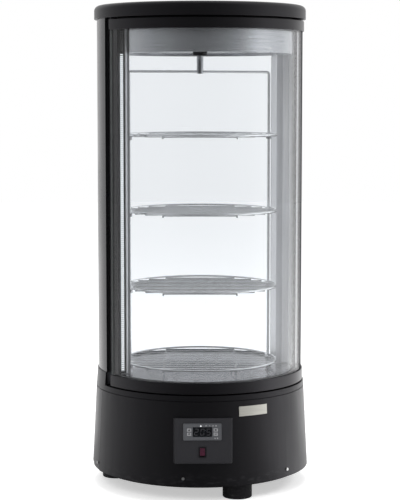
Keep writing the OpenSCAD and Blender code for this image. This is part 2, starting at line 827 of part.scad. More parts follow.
module ceiling_panel()
    color("lightgray") difference() {
        translate([0, 0, ceil_z]) cylinder(r = ring_r - sheet - fit, h = sheet);
        column_slots(0, case_h);
        translate([0, 0, ceil_z - 1]) cylinder(r = shaft_r + 1, h = sheet + 2);
        for (i = [-4 : 4]) {
            y = i * grille_pitch;
            half = sqrt(efan_r * efan_r - y * y);
            box([-half, efan_y + y - slot_w / 2, ceil_z - 1],
                [half, efan_y + y + slot_w / 2, ceil_top + 1]);
        }
        for (i = [-6 : 6]) box([i * slot_pitch - slot_w / 2, evap_y + 6, ceil_z - 1],
            [i * slot_pitch + slot_w / 2, evap_y + evap_d - 6, ceil_top + 1]);
    }

module top_cap()
    color("black") translate([0, 0, cap_z]) difference() {
        rotate_extrude() difference() {
            union() {
                square([cap_r - cap_round, cap_h]);
                square([cap_r, cap_h - cap_round]);
                translate([cap_r - cap_round, cap_h - cap_round]) circle(cap_round);
            }
            translate([-1, cap_t])
                square([cap_r - cap_round + 1, cap_h - 2 * cap_t]);
            translate([-1, cap_t])
                square([cap_r - cap_t + 1, cap_h - cap_round - cap_t]);
            translate([cap_r - cap_round, cap_h - cap_round])
                circle(cap_round - cap_t);
            translate([-1, -1]) square([ring_r - sheet - 3, cap_t + 2]);
        }
        translate([pivot_x, -pivot_y, -1]) cylinder(r = pin_r + run, h = cap_t + 2);
    }

module gearmotor()
    color("dimgray") difference() {
        union() {
            translate([-gear_w / 2, -gear_w / 2, ceil_top]) cube([gear_w, gear_w, gear_h]);
            translate([0, 8, ceil_top + gear_h - 1]) cylinder(r = gear_w * 0.36, h = 18);
            translate([-gear_w / 2 - 10, -12, ceil_top]) cube([gear_w + 20, 24, 3]);
        }
        translate([0, 0, ceil_top - 1]) cylinder(r = spigot_r + run, h = spigot_in + 2);
    }

module evaporator()
    color("silver") translate([0, evap_y, evap_z]) {
        coil(evap_w, evap_d, evap_h, 2, 2, fin_pitch);
        for (s = [-1, 1]) translate([s * evap_w / 2, 0, 0])
            box([-7, 8, ceil_top - evap_z], [1, evap_d - 8, 0.5]);
    }

module evaporator_motor() {
    top = ceil_top + 26;
    color("dimgray") translate([0, efan_y, 0]) {
        ring(efan_r + 4, efan_r + 7, ceil_top, top);
        difference() {
            for (a = [45, 135]) rotate([0, 0, a])
                box([-efan_r - 6, -4, top - 3], [efan_r + 6, 4, top]);
            translate([0, 0, top - 4]) cylinder(r = fshaft_r - 0.5, h = 2);
        }
        translate([0, 0, top - 1]) cylinder(r = fmotor_r, h = 24);
        translate([0, 0, efan_z - efan_h + 2 + fit])
            cylinder(r = fshaft_r, h = top - efan_z + efan_h - 3);
    }
}

module evaporator_fan()
    color("darkslategray") translate([0, efan_y, efan_z]) mirror([0, 0, 1])
        fan(efan_r, 12, efan_h);

module control_plate()
    color("dimgray") difference() {
        on_panel() difference() {
            intersection() {
                translate([0, 0, -plate_h / 2]) linear_extrude(plate_h)
                    polygon([[-plate_w / 2, -plate_t], [plate_w / 2, -plate_t],
                        [plate_w / 2 + plate_wing, 11], [-plate_w / 2 - plate_wing, 11]]);
                rounded(plate_w + 2 * plate_wing, plate_h, plate_corner, -plate_t, 11);
            }
            panel_hole(ctrl_x, ctrl_z, body_w, body_h);
            panel_hole(ctrl_x, -sw_drop, sw_body_w, sw_body_h);
        }
        translate([0, 0, foot_h]) cylinder(r1 = skirt_r(foot_h) + glaze,
            r2 = skirt_r(skirt_top) + glaze, h = skirt_h, $fn = 256);
    }

module panel_hole(x, z, w, h)
    box([x - w / 2 - glaze, -20, z - h / 2 - glaze],
        [x + w / 2 + glaze, 20, z + h / 2 + glaze]);

module controller_case()
    color("gray") on_panel() translate([ctrl_x, 0, ctrl_z]) difference() {
        union() {
            rounded(bezel_w, bezel_h, bezel_corner, bezel_y, -plate_t);
            box([-body_w / 2, -plate_t - 0.5, -body_h / 2], [body_w / 2, ctrl_d, body_h / 2]);
        }
        box([-lens_w / 2 - 0.1, -20, -lens_h / 2 - 0.1],
            [lens_w / 2 + 0.1, bezel_y + 1.2, lens_h / 2 + 0.1]);
        for (x = [-1, 1], z = [-1, 1]) button_space(x, z, glaze, btn_travel + 4.5);
    }

// The space of one controller button, grown by g
module button_space(x, z, g, deep) translate([x * btn_x, 0, z * btn_z])
    box([-btn_w / 2 - g, bezel_y - btn_proud, -btn_h / 2 - g],
        [btn_w / 2 + g, bezel_y + deep, btn_h / 2 + g]);

module button(x, z)
    color("lightgray") on_panel() translate([ctrl_x, 0, ctrl_z])
        button_space(x, z, 0, 4);
module button_upper_left() button(-1, 1);
module button_lower_left() button(-1, -1);
module button_upper_right() button(1, 1);
module button_lower_right() button(1, -1);

module display_lens()
    color("black") on_panel() translate([ctrl_x, 0, ctrl_z])
        box([-lens_w / 2, bezel_y - 0.3, -lens_h / 2], [lens_w / 2, bezel_y + 1.2, lens_h / 2]);

module switch_case()
    color("black") on_panel() translate([ctrl_x, 0, -sw_drop]) difference() {
        union() {
            box([-sw_w / 2, -plate_t - sw_flange, -sw_h / 2], [sw_w / 2, -plate_t, sw_h / 2]);
            box([-sw_body_w / 2, -plate_t - 0.5, -sw_body_h / 2],
                [sw_body_w / 2, 20, sw_body_h / 2]);
        }
        box([-rocker_w / 2 - rocker_gap, -20, -rocker_h / 2 - 1.3],
            [rocker_w / 2 + rocker_gap, 8, rocker_h / 2 + 1.3]);
        translate([-sw_body_w, rocker_y, 0]) rotate([0, 90, 0])
            cylinder(r = 1.2 + run, h = 2 * sw_body_w);
    }

module rocker()
    color("darkred") on_panel() translate([ctrl_x, rocker_y, -sw_drop])
        rotate([-rocker_a, 0, 0]) {
            h = rocker_h / 2;
            rotate([90, 0, 90]) translate([0, 0, -rocker_w / 2]) linear_extrude(rocker_w)
                polygon([[-7, -h], [-5.8, 0], [-7, h], [0.5, h - 1], [1.5, 0], [0.5, 1 - h]]);
            rotate([0, 90, 0])
                cylinder(r = 1.2, h = rocker_w + 2 * rocker_gap + 1.4, center = true);
        }

module badge_plate() {
    hi = skirt_top - badge_drop;
    lo = hi - badge_h;
    half = badge_w / skirt_r(hi) * 90 / PI;
    color("wheat") swept([[skirt_r(lo) + 0.1, lo], [skirt_r(lo) + badge_t, lo],
        [skirt_r(hi) + badge_t, hi], [skirt_r(hi) + 0.1, hi]],
        badge_a - half, badge_a + half);
}

module hinge_pins()
    color("silver") translate([pivot_x, -pivot_y, 0]) {
        translate([0, 0, skirt_top + 2])
            cylinder(r = pin_r, h = door_z + pin_in - skirt_top - 2);
        translate([0, 0, ledge_z]) cylinder(r = pin_r + 3, h = sill_gap - 0.1);
        translate([0, 0, door_top - pin_in])
            cylinder(r = pin_r, h = cap_z + cap_t - door_top + pin_in);
        translate([0, 0, door_top + 0.1]) cylinder(r = pin_r + 3, h = cap_gap - 0.1);
    }

module door_glass_outer()
    color("lightblue") sector(glass_r - pane_out_t, glass_r, pane_lo, pane_hi,
        -door_a, door_a);

module door_glass_inner()
    color("lightblue") sector(in_r - pane_in_t, in_r, pane_lo, pane_hi, -door_a, door_a);

module rail(z1, z2, g1, g2, p1, p2)
    color("black") difference() {
        sector(rail_in, rail_r, z1, z2, -door_a, door_a);
        pane_grooves(g1, g2, -door_a - 1, door_a + 1);
        translate([pivot_x, -pivot_y, p1]) cylinder(r = pin_r + run, h = p2 - p1);
    }
module door_top_rail()
    rail(door_top - rail_top, door_top, 0, pane_hi + glaze, door_top - pin_in - 0.5, far * 9);
module door_bottom_rail()
    rail(door_z, door_z + rail_bot, pane_lo - glaze, far * 9, 0, door_z + pin_in + 0.5);

module stile()
    sector(in_r + glaze, glass_r - pane_out_t - glaze, door_z + rail_bot,
        door_top - rail_top, door_a - stile_a, door_a);
module door_hinge_stile() color("lightgray") stile();
module door_free_stile() color("black") mirror([1, 0, 0]) stile();

// Upright strip of gasket between a stile's end and its column, from x1 to x2
module upright(x1, x2, z1, z2)
    translate([0, 0, z1]) linear_extrude(z2 - z1)
        polygon([[x1, -col_face - fit], [x2, -col_face - fit],
            [x2, -x2 / tan(door_a)], [x1, -x1 / tan(door_a)]]);

module door_gasket() {
    low = [door_z + 2, floor_z];
    high = [door_top - rail_top + 2.5, door_top - 3];
    hinge_end = atan(pivot_x / pivot_y) - 0.6;
    color("dimgray") {
        for (z = [low, high])
            sector(ring_r + fit, rail_in - 0.1, z[0], z[1], -door_a - 0.8, hinge_end);
        mirror([1, 0, 0]) upright(rail_in - 4.5, rail_in + 6.5, low[0], high[1]);
        upright(rail_in - 4.5, pivot_x - 4, floor_z + 1, head_z - 1);
    }
}

module drive_shaft()
    color("silver") rotate([0, 0, carrier_a]) difference() {
        low = bar_z - rod_r - 1.2;
        hub_top = hub_z + hub_h;
        union() {
            translate([0, 0, low]) cylinder(r = shaft_r, h = hub_z - low + 1);
            translate([0, 0, hub_z]) cylinder(r = hub_r, h = hub_h);
            translate([0, 0, hub_top - 1])
                cylinder(r = spigot_r, h = ceil_top + spigot_in - hub_top + 1);
        }
        translate([-far / 2, 0, bar_z]) rotate([0, 90, 0])
            cylinder(r = rod_r + run, h = far);
        translate([0, -hub_r - 1, hub_z + hub_h / 2]) rotate([-90, 0, 0])
            cylinder(r = 2, h = 6);
    }

module carrier_frame() {
    low = shelf_z(1) - eye_h - clip_h - 2;
    color("silver") rotate([0, 0, carrier_a]) {
        rod([rod_bend - rod_at, 0, bar_z], [rod_at - rod_bend, 0, bar_z], rod_r);
        for (s = [0, 1]) mirror([s, 0, 0]) {
            translate([rod_at - rod_bend, 0, bar_z - rod_bend]) rotate([90, 0, 0])
                rotate_extrude(angle = 90) translate([rod_bend, 0]) circle(rod_r);
            translate([rod_at, 0, low]) cylinder(r = rod_r, h = bar_z - rod_bend - low);
        }
    }
}

module shelf(i) {
    rim = shelf_r - rim_r;
    n = floor((rim - 6) / wire_pitch - 0.5);
    wire_z = 0.6 - 2 * rim_r - wire_r;
    cross_z = wire_z - wire_r - cross_r + 0.5;
    color("silver") rotate([0, 0, carrier_a]) translate([0, 0, shelf_z(i)]) {
        difference() {
            union() {
                translate([0, 0, -rim_r]) rotate_extrude() translate([rim, 0]) circle(rim_r);
                rotate([0, 0, wire_a]) for (k = [-n - 1 : n]) {
                    y = (k + 0.5) * wire_pitch;
                    half = sqrt(pow(rim + rim_r / 2, 2) - y * y);
                    rod([-half, y, wire_z], [half, y, wire_z], wire_r);
                }
                for (s = [-1, 1]) translate([s * rod_at, 0, -eye_h])
                    cylinder(r = rod_r + eye_t, h = eye_h);
            }
            for (s = [-1, 1]) translate([s * rod_at, 0, -eye_h - 1])
                cylinder(r = rod_r + glaze, h = eye_h + 2);
        }
        rotate([0, 0, wire_a]) for (s = [-1, 1]) {
            half = sqrt(rim * rim - cross_at * cross_at);
            rod([s * cross_at, -half, cross_z], [s * cross_at, half, cross_z], cross_r);
        }
    }
}
module shelf_1() shelf(1);
module shelf_2() shelf(2);
module shelf_3() shelf(3);
module shelf_4() shelf(4);

module shelf_clips()
    color("gray") rotate([0, 0, carrier_a]) for (i = [1 : 4], s = [-1, 1])
        translate([s * rod_at, 0, shelf_z(i) - eye_h - clip_h - 0.1]) difference() {
            cylinder(r = rod_r + eye_t - 0.7, h = clip_h);
            translate([0, 0, -1]) cylinder(r = rod_r + run, h = clip_h + 2);
            translate([0, 0, clip_h / 2]) rotate([0, s * 90, 0])
                cylinder(r = 1.2, h = 2 * (rod_r + eye_t));
        }

base_frame();
front_skirt();
rear_skirt();
skirt_screws();
foot_front();
foot_rear_left();
foot_rear_right();
compressor();
compressor_mounts();
condenser();
condenser_shroud();
refrigerant_lines();
cord_gland();
insulated_deck();
collar();
floor_tray();
left_column();
right_column();
left_shell();
right_shell();
led_channel();
led_strip();
hinge_side_trim();
rear_glass_outer();
rear_glass_inner();
rear_glass_spacer();
rear_top_rail();
head_ring();
ceiling_panel();
top_cap();
gearmotor();
evaporator();
evaporator_motor();
control_plate();
controller_case();
display_lens();
switch_case();
badge_plate();
hinge_pins();
door_glass_outer();
door_glass_inner();
door_top_rail();
door_bottom_rail();
door_free_stile();
door_hinge_stile();
door_gasket();
drive_shaft();
carrier_frame();
shelf_1();
shelf_2();
shelf_3();
shelf_4();
shelf_clips();
condenser_fan();
evaporator_fan();
rocker();
button_upper_left();
button_lower_left();
button_upper_right();
button_lower_right();
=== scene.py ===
import json
import math

import bmesh
import bpy
from mathutils import Matrix, Vector


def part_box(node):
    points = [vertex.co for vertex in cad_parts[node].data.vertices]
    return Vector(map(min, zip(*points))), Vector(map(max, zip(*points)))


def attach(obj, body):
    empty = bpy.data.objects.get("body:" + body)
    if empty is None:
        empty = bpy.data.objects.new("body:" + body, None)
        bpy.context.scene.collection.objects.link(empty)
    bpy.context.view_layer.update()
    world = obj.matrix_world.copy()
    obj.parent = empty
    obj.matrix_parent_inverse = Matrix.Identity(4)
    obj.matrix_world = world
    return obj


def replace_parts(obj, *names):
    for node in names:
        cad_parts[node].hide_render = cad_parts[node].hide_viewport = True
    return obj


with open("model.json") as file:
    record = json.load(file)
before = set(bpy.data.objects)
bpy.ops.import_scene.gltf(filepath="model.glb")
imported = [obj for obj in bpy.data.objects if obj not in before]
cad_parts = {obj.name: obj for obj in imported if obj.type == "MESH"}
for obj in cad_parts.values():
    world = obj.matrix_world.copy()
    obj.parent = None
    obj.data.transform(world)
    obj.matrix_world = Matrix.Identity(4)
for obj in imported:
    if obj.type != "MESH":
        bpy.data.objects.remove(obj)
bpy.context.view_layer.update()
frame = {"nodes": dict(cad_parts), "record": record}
nodes = frame["nodes"]
scene = bpy.context.scene

# Camera: a long lens 3.4 m away, standing to the left of the door's middle

CAMERA_AT = (-1.2628, -3.1255, 0.8136)
CAMERA_YAW = -22.0
CAMERA_PITCH = -5.49
CAMERA_LENS = 115.2
SENSOR = 36.0

camera_data = bpy.data.cameras.new("camera")
camera_data.sensor_fit = "VERTICAL"
camera_data.sensor_height = SENSOR
camera_data.lens = CAMERA_LENS
camera = bpy.data.objects.new("camera", camera_data)
camera.location = CAMERA_AT
camera.rotation_euler = (math.radians(90 + CAMERA_PITCH), 0, math.radians(CAMERA_YAW))
scene.collection.objects.link(camera)
scene.camera = camera

# Sizes in metres and angles in degrees from the front, taken from the frame where a box gives them


def low(node, axis):
    """Least coordinate of a node along an axis."""
    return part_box(node)[0][axis]


def high(node, axis):
    """Greatest coordinate of a node along an axis."""
    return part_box(node)[1][axis]


X, Y, Z = range(3)

# Skirt: radius at its top, and how much wider it is at its foot
SKIRT_TOP_R = 0.220
SKIRT_FLARE = 0.0086
SKIRT_LOW = low("front_skirt", Z)
SKIRT_TOP = high("front_skirt", Z)
TILT = math.atan(SKIRT_FLARE / (SKIRT_TOP - SKIRT_LOW))

# Door: angle of its edges, and the angle that a stile covers
DOOR_A = 80.25
STILE_A = 5.25
STILE_LOW = low("door_hinge_stile", Z)
STILE_TOP = high("door_hinge_stile", Z)
STILE_IN = 0.2027
STILE_OUT = 0.2098

# Inside of the case
RING_R = 0.193
RING_T = 0.0015
SHAFT_R = 0.007
FLOOR_Z = high("floor_tray", Z)
HEAD_Z = low("head_ring", Z)
CAP_Z = low("top_cap", Z)
COL_FACE = 0.025
COL_X = low("right_column", X)

# Control panel: places on the skirt and on the plate, and sizes of what it holds
PANEL_A = -20.4
PANEL_Z = 0.1277
PLATE_W = 0.112
PLATE_H = 0.091
PLATE_T = 0.0018
BEZEL_W = 0.077
BEZEL_H = 0.034
BEZEL_Y = -0.0043
CTRL_X = -0.0015
CTRL_Z = 0.0185
LENS_W = 0.039
LENS_H = 0.020
BUTTON_X = 0.0266
BUTTON_Z = 0.0042
BUTTON_W = 0.009
BUTTON_H = 0.0065
BUTTON_FRONT = BEZEL_Y - 0.0008

# Head: where the band is cut back, and how far up the pieces beside it run
CUT_A = 69.5
UP_FROM = HEAD_Z - 0.002
UP_TO = low("door_top_rail", Z) + 0.006
RETURN_TOP = CAP_Z - 0.0062


def skirt_r(z):
    """Outer radius of the flared skirt at a height."""
    return SKIRT_TOP_R + SKIRT_FLARE * (SKIRT_TOP - z) / (SKIRT_TOP - SKIRT_LOW)


def polar(a, r, z=0.0):
    """Point at angle a in degrees from the front, counted towards +X."""
    t = math.radians(a)
    return Vector((r * math.sin(t), -r * math.cos(t), z))


def on_skirt(a, z):
    """Frame on the skirt's outer face: x along it, -y outwards, z up the slope."""
    return (Matrix.Rotation(math.radians(a), 4, "Z")
            @ Matrix.Translation((0, -skirt_r(z), z))
            @ Matrix.Rotation(-TILT, 4, "X"))


ON_PANEL = on_skirt(PANEL_A, PANEL_Z)
ON_CONTROLLER = ON_PANEL @ Matrix.Translation((CTRL_X, 0, CTRL_Z))

# Materials


class Nodes:
    """A node tree to which nodes are added step by step."""

    def __init__(self, tree):
        self.tree = tree

    def add(self, kind, inputs=None, **settings):
        """A new node, with each input set to a value or linked to another node's output."""
        node = self.tree.nodes.new(kind)
        for key, value in settings.items():
            setattr(node, key, value)
        for key, value in (inputs or {}).items():
            if isinstance(value, bpy.types.NodeSocket):
                self.tree.links.new(value, node.inputs[key])
            else:
                node.inputs[key].default_value = value
        return node

    def math(self, operation, a, b=0.0):
        return self.add("ShaderNodeMath", {0: a, 1: b}, operation=operation).outputs[0]


class Surface(Nodes):
    """A material built on one Principled shader. Coordinates are the piece's own, in metres."""

    def __init__(self, name, **sockets):
        self.material = bpy.data.materials.new(name)
        self.material.use_nodes = True
        super().__init__(self.material.node_tree)
        self.shader = self.tree.nodes["Principled BSDF"]
        self.output = self.tree.nodes["Material Output"]
        self.coords = self.add("ShaderNodeTexCoord").outputs["Object"]
        for key, value in sockets.items():
            self.shader.inputs[key.replace("_", " ")].default_value = value

    def link(self, value, socket):
        """Link an output to one of the shader's inputs."""
        self.tree.links.new(value, self.shader.inputs[socket])

    def noise(self, scale, detail=2.0, rough=0.5, stretch=None, distortion=0.0):
        vector = self.coords
        if stretch is not None:
            vector = self.add("ShaderNodeMapping", {"Vector": vector, "Scale": stretch}).outputs[0]
        return self.add("ShaderNodeTexNoise", {
            "Vector": vector, "Scale": scale, "Detail": detail, "Roughness": rough,
            "Distortion": distortion}).outputs["Fac"]

    def ramp(self, value, start, stop, out_start=0.0, out_stop=1.0):
        """A value between start and stop, mapped to between out_start and out_stop."""
        return self.add("ShaderNodeMapRange", {
            "Value": value, "From Min": start, "From Max": stop,
            "To Min": out_start, "To Max": out_stop}).outputs["Result"]

    def mix(self, share, a, b):
        """Colour a where the share is 0 and colour b where it is 1."""
        node = self.add("ShaderNodeMix", data_type="RGBA")
        for index, value in ((0, share), (6, a), (7, b)):
            if isinstance(value, bpy.types.NodeSocket):
                self.tree.links.new(value, node.inputs[index])
            elif index:
                node.inputs[index].default_value = (*value, 1)
            else:
                node.inputs[index].default_value = value
        return node.outputs[2]

    def axis(self, which):
        return self.add("ShaderNodeSeparateXYZ", {0: self.coords}).outputs[which]

    def bump(self, height, distance):
        bump = self.add("ShaderNodeBump", {"Height": height, "Distance": distance})
        self.link(bump.outputs[0], "Normal")
        return bump


def coated(name, colour, worn, rough, spec, grain=900.0, grain_depth=0.00001, scuff_z=None,
           glow=0.0):
    """Powder coat, moulding or rubber: fine grain, soft smudges, and paler scuffs."""
    s = Surface(name, Specular_IOR_Level=spec, Specular_Tint=(0.95, 0.92, 1.0, 1.0),
                Emission_Strength=glow)
    smudge = s.noise(7.0, 3.0, 0.6)
    fine = s.noise(grain, 2.0, 0.6)
    specks = s.ramp(s.noise(160.0, 3.0, 0.7), 0.68, 0.8)
    mask = s.math("MULTIPLY", specks, 0.5)
    if scuff_z is not None:
        foot = s.ramp(s.axis("Z"), scuff_z + 0.03, scuff_z)
        rubbed = s.ramp(s.noise(60.0, 4.0, 0.7, (1.0, 1.0, 3.0)), 0.5, 0.75)
        mask = s.math("MAXIMUM", mask, s.math("MULTIPLY", foot, rubbed))
    paint = s.mix(mask, colour, worn)
    s.link(paint, "Base Color")
    if glow:
        s.link(paint, "Emission Color")
    s.link(s.ramp(smudge, 0.3, 0.7, rough - 0.04, rough + 0.05), "Roughness")
    s.bump(fine, grain_depth)
    return s.material


def brushed(name, colour, rough, stretch, tone=0.12, depth=0.00002, metallic=1.0, dull=0.06,
            wave=0.0):
    """Brushed or drawn metal: fine lines across the stretched axis, and faint stains."""
    s = Surface(name, Metallic=metallic)
    lines = s.noise(1.0, 3.0, 0.6, stretch)
    stain = s.noise(9.0, 3.0, 0.6)
    dark = tuple(c * (1 - tone) for c in colour)
    light = tuple(min(1.0, c * (1 + tone)) for c in colour)
    s.link(s.mix(s.ramp(lines, 0.3, 0.7), dark, light), "Base Color")
    s.link(s.math("ADD", s.ramp(lines, 0.3, 0.7, rough - 0.03, rough + 0.05),
                  s.ramp(stain, 0.4, 0.7, 0.0, dull)), "Roughness")
    bump = s.bump(lines, depth)
    if wave:
        swell = s.add("ShaderNodeBump", {
            "Height": s.noise(22.0, 1.5, 0.5, distortion=0.6), "Distance": wave})
        s.tree.links.new(swell.outputs[0], bump.inputs["Normal"])
    return s.material


def plated(name, colour, rough=0.1, metallic=1.0):
    """Chromed wire and plated pieces: faint pits and handling marks."""
    s = Surface(name, Metallic=metallic)
    marks = s.noise(35.0, 4.0, 0.65)
    pits = s.ramp(s.noise(700.0, 1.0, 0.5), 0.66, 0.74)
    dull = tuple(c * 0.7 for c in colour)
    s.link(s.mix(s.math("MULTIPLY", pits, 0.6), colour, dull), "Base Color")
    s.link(s.ramp(marks, 0.35, 0.7, rough - 0.04, rough + 0.1), "Roughness")
    s.bump(marks, 0.00001)
    return s.material


def pane(name, edge, tint=(0.987, 0.991, 0.995), index=1.26):
    """Clear bent glass: mirrors by angle and passes the rest, with painted shade that darkens it
    at grazing views.
    """
    s = Surface(name, Specular_IOR_Level=0.5)
    normal = s.add("ShaderNodeTexCoord").outputs["Normal"]
    flat = s.add("ShaderNodeVectorMath", {0: s.coords, 1: (1.0, 1.0, 0.0)},
                 operation="MULTIPLY").outputs[0]
    radial = s.add("ShaderNodeVectorMath", {0: flat}, operation="NORMALIZE").outputs[0]
    along = s.add("ShaderNodeVectorMath", {0: radial, 1: normal},
                  operation="DOT_PRODUCT").outputs["Value"]
    cut = s.ramp(s.math("ABSOLUTE", along), 0.8, 0.5)
    streak = s.noise(14.0, 3.0, 0.6, (1.0, 1.0, 0.25))
    facing = s.add("ShaderNodeLayerWeight", {"Blend": 0.5}).outputs["Facing"]
    # Painted shade: where the pane is seen edge-on, the light it passes and its mirror colour are
    # darkened, which draws a dark line along its outline
    grazing_shade = s.ramp(facing, 0.75, 0.86)
    through = s.mix(grazing_shade, tint, tuple(c * 0.3 for c in tint))
    clear = s.add("ShaderNodeBsdfTransparent", {"Color": through})
    rim = s.mix(grazing_shade, (1.0, 1.0, 1.0), (0.1, 0.1, 0.11))
    mirror = s.add("ShaderNodeBsdfGlossy", {"Color": rim})
    s.tree.links.new(s.ramp(streak, 0.4, 0.7, 0.01, 0.035), mirror.inputs["Roughness"])
    behind = s.add("ShaderNodeNewGeometry").outputs["Backfacing"]
    bend = s.ramp(behind, 0.0, 1.0, index, 1.0 / index)
    fresnel = s.add("ShaderNodeFresnel", {"IOR": bend}).outputs[0]
    face = s.add("ShaderNodeMixShader", {0: fresnel, 1: clear.outputs[0], 2: mirror.outputs[0]})
    s.link(s.mix(s.ramp(streak, 0.35, 0.65), edge, tuple(c * 0.8 for c in edge)), "Base Color")
    s.shader.inputs["Roughness"].default_value = 0.25
    whole = s.add("ShaderNodeMixShader", {0: cut, 1: face.outputs[0], 2: s.shader.outputs[0]})
    s.tree.links.new(whole.outputs[0], s.output.inputs["Surface"])
    return s.material


BLACK = (0.0036, 0.0036, 0.0042)
SCUFF = (0.03, 0.03, 0.032)

# By slot. The keys are written out, because Blender may number a material whose name is taken
MATERIALS = {
    "galvanised_steel": brushed("galvanised_steel", (0.42, 0.43, 0.44), 0.42, (60, 60, 60)),
    "black_coat": coated("black_coat", BLACK, SCUFF, 0.34, 0.4, scuff_z=0.036),
    "screw_steel": plated("screw_steel", (0.85, 0.85, 0.85), 0.3),
    "foot_rubber": coated("foot_rubber", (0.011, 0.011, 0.012), (0.05, 0.05, 0.05), 0.6, 0.25,
                          grain=500.0, grain_depth=0.00008, scuff_z=0.0),
    "compressor_enamel": coated("compressor_enamel", (0.012, 0.012, 0.013), SCUFF, 0.3, 0.5),
    "mount_rubber": coated("mount_rubber", (0.02, 0.02, 0.02), SCUFF, 0.7, 0.3),
    "coil_aluminium": brushed("coil_aluminium", (0.6, 0.61, 0.62), 0.35, (30, 30, 300)),
    "copper": plated("copper", (0.72, 0.36, 0.2), 0.25),
    "black_plastic": coated("black_plastic", (0.008, 0.008, 0.009), SCUFF, 0.45, 0.4),
    "foam_panel": coated("foam_panel", (0.05, 0.05, 0.052), (0.12, 0.12, 0.12), 0.6, 0.3),
    "collar_plastic": coated("collar_plastic", BLACK, SCUFF, 0.36, 0.4),
    "stainless": brushed("stainless", (0.46, 0.47, 0.49), 0.2, (12, 12, 900)),
    "column_satin": brushed("column_satin", (0.4, 0.405, 0.43), 0.34, (500, 500, 6)),
    "light_diffuser": coated("light_diffuser", (0.42, 0.44, 0.45), (0.35, 0.36, 0.37), 0.4, 0.4,
                             glow=0.25),
    "trim_grey": brushed("trim_grey", (0.93, 0.94, 0.98), 0.3, (600, 600, 6), metallic=0.35),
    "spacer_aluminium": brushed("spacer_aluminium", (0.6, 0.61, 0.62), 0.4, (60, 60, 500)),
    "rail_black": coated("rail_black", BLACK, SCUFF, 0.3, 0.45),
    "ceiling_satin": brushed("ceiling_satin", (0.6, 0.61, 0.63), 0.32, (12, 500, 12)),
    "cap_plastic": coated("cap_plastic", BLACK, SCUFF, 0.38, 0.4, grain=1200.0),
    "gear_zinc": coated("gear_zinc", (0.22, 0.22, 0.23), (0.4, 0.4, 0.4), 0.5, 0.5),
    "motor_plastic": coated("motor_plastic", (0.03, 0.03, 0.032), SCUFF, 0.5, 0.4),
    "plate_grey": coated("plate_grey", (0.026, 0.026, 0.029), (0.08, 0.08, 0.08), 0.5, 0.25,
                         grain=1500.0),
    "bezel_plastic": coated("bezel_plastic", (0.085, 0.088, 0.095), (0.2, 0.2, 0.2), 0.42, 0.35,
                            grain=1500.0),
    "display_dark": coated("display_dark", (0.004, 0.005, 0.006), (0.02, 0.02, 0.02), 0.12, 0.3,
                           grain_depth=0.000002),
    "badge_metal": brushed("badge_metal", (0.62, 0.61, 0.56), 0.36, (12, 12, 900), metallic=0.7),
    "pin_steel": plated("pin_steel", (0.6, 0.6, 0.6), 0.2),
    "gasket_rubber": coated("gasket_rubber", (0.012, 0.012, 0.013), SCUFF, 0.62, 0.3),
    "shaft_chrome": plated("shaft_chrome", (0.62, 0.63, 0.65), 0.14),
    "wire_chrome": plated("wire_chrome", (0.95, 0.96, 0.97), 0.12, metallic=0.75),
    "clip_nickel": plated("clip_nickel", (0.55, 0.55, 0.56), 0.22),
    "fan_plastic": coated("fan_plastic", (0.02, 0.02, 0.022), SCUFF, 0.45, 0.4),
    "rocker_red": coated("rocker_red", (0.052, 0.011, 0.024), (0.09, 0.03, 0.04), 0.3, 0.4),
    "button_grey": coated("button_grey", (0.2, 0.205, 0.215), (0.3, 0.3, 0.3), 0.55, 0.35),
    "glass_clear": pane("glass_clear", (0.115, 0.125, 0.125)),
}

# Finishes of single pieces that share a slot with others, and a copy of the satin with painted
# light for the right column
HEAD_STEEL = brushed("head_steel", (0.62, 0.63, 0.65), 0.2, (12, 12, 900), metallic=0.85)
# Painted light: a paler, less metallic copy of the column satin, so the right column shows
# brighter than the left one
RIGHT_SATIN_PAINTED_LIGHT = brushed("right_satin_painted_light", (0.64, 0.645, 0.67), 0.34, (500, 500, 6), metallic=0.55)
FLOOR_STEEL = brushed("floor_steel", (0.45, 0.45, 0.47), 0.13, (12, 12, 900), wave=0.0005)
SHELL_COAT = coated("shell_coat", BLACK, SCUFF, 0.24, 0.75)
# Painted shade: a dark, unlit copy of the light chips, for the chips above the head band
SHADED_CHIP = coated("shaded_chip", (0.2, 0.2, 0.2), (0.15, 0.15, 0.15), 0.4, 0.4)
# Painted shade: a darker, unlit copy of the light diffuser, for the strip above the head band
SHADED_STRIP = coated("shaded_strip", (0.09, 0.09, 0.09), (0.07, 0.07, 0.07), 0.5, 0.3)
LIT_CHIP = coated("lit_chip", (0.93, 0.96, 0.97), (0.8, 0.82, 0.84), 0.4, 0.4, glow=0.8)
DIM_DIGIT = coated("dim_digit", (0.036, 0.036, 0.039), (0.06, 0.06, 0.06), 0.3, 0.4)
MARK_GREY = coated("mark_grey", (0.3, 0.3, 0.31), (0.4, 0.4, 0.4), 0.5, 0.3)
MARK_LIT = coated("mark_lit", (0.85, 0.86, 0.88), (0.8, 0.8, 0.8), 0.5, 0.3, glow=0.5)
MARK_DARK = coated("mark_dark", (0.01, 0.01, 0.011), (0.03, 0.03, 0.03), 0.5, 0.3)
HUB_BLACK = coated("hub_black", (0.012, 0.012, 0.013), SCUFF, 0.4, 0.4)
BEAD_BRIGHT = brushed("bead_bright", (0.85, 0.86, 0.88), 0.3, (600, 600, 6), metallic=0.4)

for part in frame["record"]["subparts"]:
    mesh = nodes[part["node"]].data
    mesh.materials.clear()
    mesh.materials.append(MATERIALS[part["material_slot"]])
nodes["floor_tray"].data.materials[0] = FLOOR_STEEL
# Painted light: the right column gets the paler copy of the column satin
nodes["right_column"].data.materials[0] = RIGHT_SATIN_PAINTED_LIGHT
nodes["left_shell"].data.materials[0] = SHELL_COAT
nodes["right_shell"].data.materials[0] = SHELL_COAT

# The hub block under the ceiling is a black casting round the bright shaft
HUB_MARGIN = 0.001
shaft = nodes["drive_shaft"].data
shaft.materials.append(HUB_BLACK)
for face in shaft.polygons:
    corners = [shaft.vertices[i].co for i in face.vertices]
    if max(c.xy.length for c in corners) > SHAFT_R + HUB_MARGIN:
        face.material_index = 1

# Mesh helpers


